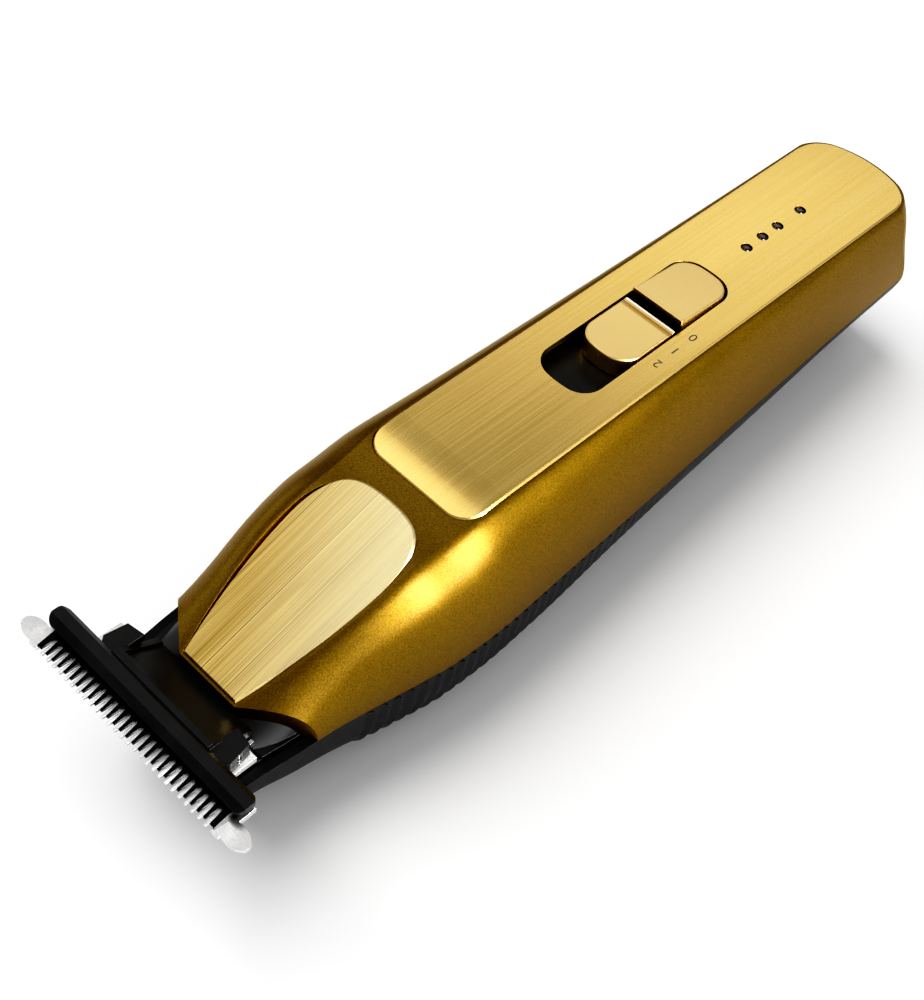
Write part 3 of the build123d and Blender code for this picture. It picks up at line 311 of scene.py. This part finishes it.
# ---------------------------------------------------------------- printed figures
INK = moulding("printed_ink", (0.035, 0.030, 0.022), (0.055, 0.048, 0.036), (0.4, 0.5)).material
INK_THICKNESS = 0.004 * MM
MARK_HEIGHT = 1.7 * MM
HEIGHT_IN_FONT = 0.72  # a figure's height as a share of the font's size
MARK_X = 7.6 * MM
MARKS = (("0", 22.0 * MM), ("1", 17.6 * MM), ("2", 13.4 * MM))


def print_mark(text, x, y, surface_z):
    """A figure printed on the top plate, read from the tail's end."""
    curve = bpy.data.curves.new("mark_" + text, "FONT")
    curve.body = text
    curve.size = MARK_HEIGHT / HEIGHT_IN_FONT
    curve.align_x = curve.align_y = "CENTER"
    curve.extrude = INK_THICKNESS
    drawn = bpy.data.objects.new("drawn_" + text, curve)
    bpy.context.scene.collection.objects.link(drawn)
    bpy.context.view_layer.update()
    mesh = bpy.data.meshes.new_from_object(drawn.evaluated_get(bpy.context.evaluated_depsgraph_get()))
    bpy.data.objects.remove(drawn)
    mesh.materials.clear()
    mesh.materials.append(INK)
    mark = bpy.data.objects.new("mark_" + text, mesh)
    half_turn = Matrix.Rotation(math.pi, 4, "Z")
    mark.matrix_world = Matrix.Translation((x, y, surface_z + INK_THICKNESS)) @ half_turn
    bpy.context.scene.collection.objects.link(mark)
    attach(mark, "body")


plate_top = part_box("top_plate")[1].z
for text, y in MARKS:
    print_mark(text, MARK_X, y, plate_top)


# ---------------------------------------------------------------- floor
FLOOR_HALF = 3.0


def make_floor():
    shader = Shader("floor", Specular_IOR_Level=0.2)
    cloud = shader.noise((90.0,) * 3)
    shader.colour(shader.blend(cloud, (0.86, 0.86, 0.86), (0.88, 0.88, 0.88)))
    shader.roughness(0.85)
    corners = [(x * FLOOR_HALF, y * FLOOR_HALF, 0) for x, y in ((-1, -1), (1, -1), (1, 1), (-1, 1))]
    mesh = bpy.data.meshes.new("floor")
    mesh.from_pydata(corners, [], [(0, 1, 2, 3)])
    mesh.materials.append(shader.material)
    floor = bpy.data.objects.new("floor", mesh)
    bpy.context.scene.collection.objects.link(floor)


# ---------------------------------------------------------------- light
SOFTBOX_DISTANCE = 1.2
# name, azimuth and elevation, width and height as the object sees them (degrees), radiance
SOFTBOXES = (
    ("back_panel", -31, 39, 30, 12, 0.86),
    ("top_panel", -100, 66, 42, 14, 1.4),
    ("left_panel", -100, 22, 40, 24, 0.9),
    ("right_strip", 77, 42, 17, 60, 20.0),
    ("right_fill", 100, 40, 34, 60, 2.2),
)


def direction(azimuth, elevation):
    """Unit vector: azimuth in degrees from +Y towards +X, elevation above the horizon."""
    a, e = math.radians(azimuth), math.radians(elevation)
    return Vector((math.sin(a) * math.cos(e), math.cos(a) * math.cos(e), math.sin(e)))


def hang(light, way):
    """Put a light in the scene, shining from that way."""
    light.rotation_mode = "QUATERNION"
    light.rotation_quaternion = way.to_track_quat("Z", "Y")
    bpy.context.scene.collection.objects.link(light)


def make_key(azimuth, elevation, spread, irradiance):
    """The broad key light, which throws the soft shadow on the floor."""
    lamp = bpy.data.lights.new("key", "SUN")
    lamp.angle = math.radians(spread)
    lamp.energy = irradiance
    light = bpy.data.objects.new("key", lamp)
    light.visible_glossy = False
    hang(light, direction(azimuth, elevation))


def make_softbox(name, azimuth, elevation, wide, high, radiance):
    """A rectangular panel that shows in the metal and leaves the floor as it is."""
    size = [2 * SOFTBOX_DISTANCE * math.tan(math.radians(span / 2)) for span in (wide, high)]
    lamp = bpy.data.lights.new(name, "AREA")
    lamp.shape = "RECTANGLE"
    lamp.size, lamp.size_y = size
    lamp.energy = radiance * math.pi * size[0] * size[1]
    light = bpy.data.objects.new(name, lamp)
    way = direction(azimuth, elevation)
    light.location = (CAD_BOX[0] + CAD_BOX[1]) / 2 + SOFTBOX_DISTANCE * way
    light.visible_diffuse = False
    hang(light, way)


def make_world(bright_strength, room_strength):
    """Bright all round for the floor, and a dimmer room for what the metal reflects."""
    world = bpy.data.worlds.new("studio")
    world.use_nodes = True
    tree = world.node_tree
    bright = tree.nodes["Background"]
    bright.inputs["Color"].default_value = (1.0, 1.0, 1.0, 1.0)
    bright.inputs["Strength"].default_value = bright_strength
    room = tree.nodes.new("ShaderNodeBackground")
    room.inputs["Color"].default_value = (1.0, 0.98, 0.95, 1.0)
    room.inputs["Strength"].default_value = room_strength
    path = tree.nodes.new("ShaderNodeLightPath")
    mix = tree.nodes.new("ShaderNodeMixShader")
    tree.links.new(path.outputs["Is Glossy Ray"], mix.inputs["Fac"])
    tree.links.new(bright.outputs["Background"], mix.inputs[1])
    tree.links.new(room.outputs["Background"], mix.inputs[2])
    tree.links.new(mix.outputs["Shader"], tree.nodes["World Output"].inputs["Surface"])
    bpy.context.scene.world = world


# ---------------------------------------------------------------- camera
LENS_MM = 57.6
CAMERA_PLACE = (0.09337, -0.13961, 0.20515)
# the camera's own right, up and back as the scene sees them
CAMERA_AXES = ((0.7066, 0.7006, 0.0989), (-0.5904, 0.5068, 0.6281), (0.3899, -0.5023, 0.7718))
# the print's curve from scene value to shown value, between 0 and 1
TONE_CURVE = ((0.03, 0.006), (0.12, 0.085), (0.3, 0.29), (0.8, 0.86))


def make_camera():
    """The photograph's viewpoint: from above the right of the blade end."""
    data = bpy.data.cameras.new("camera")
    data.lens = LENS_MM
    data.clip_start = 0.005
    camera = bpy.data.objects.new("camera", data)
    camera.rotation_mode = "QUATERNION"
    camera.rotation_quaternion = Matrix(CAMERA_AXES).transposed().to_quaternion()
    camera.location = CAMERA_PLACE
    bpy.context.scene.collection.objects.link(camera)
    bpy.context.scene.camera = camera


def set_contrast():
    """A photograph's contrast: darks a little deeper, lights rolled off."""
    view = bpy.context.scene.view_settings
    view.view_transform = "Standard"
    view.use_curve_mapping = True
    for place in TONE_CURVE:
        view.curve_mapping.curves[3].points.new(*place)
    view.curve_mapping.update()


make_floor()
make_world(bright_strength=0.62, room_strength=0.36)
make_key(azimuth=-105, elevation=62, spread=45.0, irradiance=2.35)
for softbox in SOFTBOXES:
    make_softbox(*softbox)
make_camera()
set_contrast()
